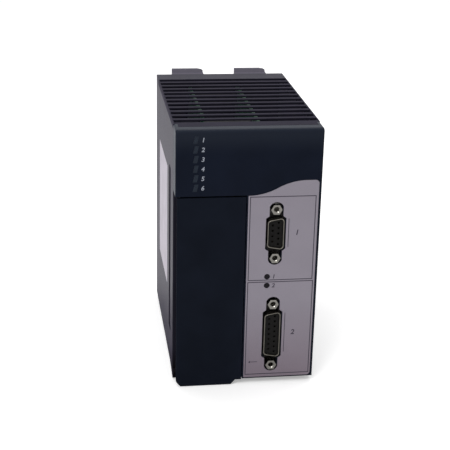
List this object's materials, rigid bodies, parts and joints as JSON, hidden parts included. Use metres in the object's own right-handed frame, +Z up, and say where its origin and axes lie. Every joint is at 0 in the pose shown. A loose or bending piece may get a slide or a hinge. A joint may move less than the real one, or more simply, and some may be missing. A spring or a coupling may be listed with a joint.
{
  "type": "plc module",
  "caption": "Double-width rack controller module with louvred case, status windows, hinged front door, serial ports, mode switch, battery and rear release latches.",
  "frame": {"origin": "under the middle of the module's bounding box, on the surface that it stands on", "axes": "+Z up, the front face looks along -Y, +X to the right seen from the front"},
  "size_m": [0.07, 0.1204, 0.1342],
  "materials": {
    "casing_plastic": "fine-grained dark moulded plastic",
    "bezel_plastic": "smooth dark moulded plastic",
    "door_plastic": "smooth dark moulded plastic",
    "tray_plastic": "dark moulded plastic",
    "silver_label": "satin silver overlay",
    "pale_label": "blank satin label",
    "light_pipe": "smoked clear plastic",
    "lamp": "clear lamp",
    "circuit_board": "solder resist over glass-fibre board",
    "chip_black": "moulded chip case",
    "connector_black": "glass-filled connector moulding",
    "steel": "zinc-plated steel",
    "nickel": "nickel-plated shell",
    "gold_contact": "gold-flashed contact",
    "sink_aluminium": "anodised aluminium",
    "pad_grey": "soft thermal pad",
    "capacitor_can": "sleeved aluminium can",
    "battery_wrap": "plain film over a metal can",
    "lever_plastic": "pale moulded lever",
    "latch_plastic": "dark moulded lever",
    "spring_steel": "tempered strip"
  },
  "bodies": {
    "casing": {"housing_shell": "casing_plastic", "side_label": "pale_label", "front_bezel": "bezel_plastic", "front_label": "silver_label", "door_hinge_pins": "steel", "compartment_tray": "tray_plastic", "status_light_pipes": "light_pipe", "status_lamps": "lamp", "display_board": "circuit_board", "display_board_screws": "steel", "port_light_pipes": "light_pipe", "port_lamps": "lamp", "jackscrews": "nickel", "port_spacers": "steel", "port_board": "circuit_board", "main_board": "circuit_board", "io_board": "circuit_board", "board_posts": "connector_black", "board_screws": "steel", "backplane_plug": "connector_black", "backplane_pins": "gold_contact", "board_link": "connector_black", "port_link": "connector_black", "display_link": "connector_black", "processor": "chip_black", "thermal_pad": "pad_grey", "heat_sink": "sink_aluminium", "heat_sink_pins": "steel", "memory_chips": "chip_black", "logic_chips": "chip_black", "capacitors": "capacitor_can", "clock_crystal": "nickel", "mode_switch_body": "connector_black", "mode_switch_nut": "nickel", "mode_switch_pin": "steel", "battery_cell": "battery_wrap", "battery_holder": "connector_black", "battery_contacts": "nickel", "latch_pins": "steel", "port_1_shell": "nickel", "port_1_insulator": "connector_black", "port_1_contacts": "gold_contact", "port_2_shell": "nickel", "port_2_insulator": "connector_black", "port_2_contacts": "gold_contact", "left_latch_spring": "spring_steel", "right_latch_spring": "spring_steel"},
    "door": {"front_door": "door_plastic"},
    "mode_switch": {"mode_switch_lever": "lever_plastic"},
    "left_latch": {"left_latch_lever": "latch_plastic"},
    "right_latch": {"right_latch_lever": "latch_plastic"}
  },
  "joints": [
    {"name": "door_hinge", "type": "hinge", "parent": "casing", "child": "door", "pos_m": [-0.0318, -0.05665, 0.0508], "axis": [0, 0, -1], "range_deg": [0, 110]},
    {"name": "mode_switch_pivot", "type": "hinge", "parent": "casing", "child": "mode_switch", "pos_m": [-0.0175, -0.03185, 0.0788], "axis": [1, 0, 0], "range_deg": [-20, 20]},
    {"name": "left_latch_pivot", "type": "hinge", "parent": "casing", "child": "left_latch", "pos_m": [-0.0175, 0.03375, 0.0058], "axis": [1, 0, 0], "range_deg": [0, 8], "stiffness_Nm_per_rad": 0.12, "springref_deg": -6.88, "deforming": ["left_latch_spring"]},
    {"name": "right_latch_pivot", "type": "hinge", "parent": "casing", "child": "right_latch", "pos_m": [0.0175, 0.03375, 0.0058], "axis": [1, 0, 0], "range_deg": [0, 8], "stiffness_Nm_per_rad": 0.12, "springref_deg": -6.88, "deforming": ["right_latch_spring"]}
  ]
}
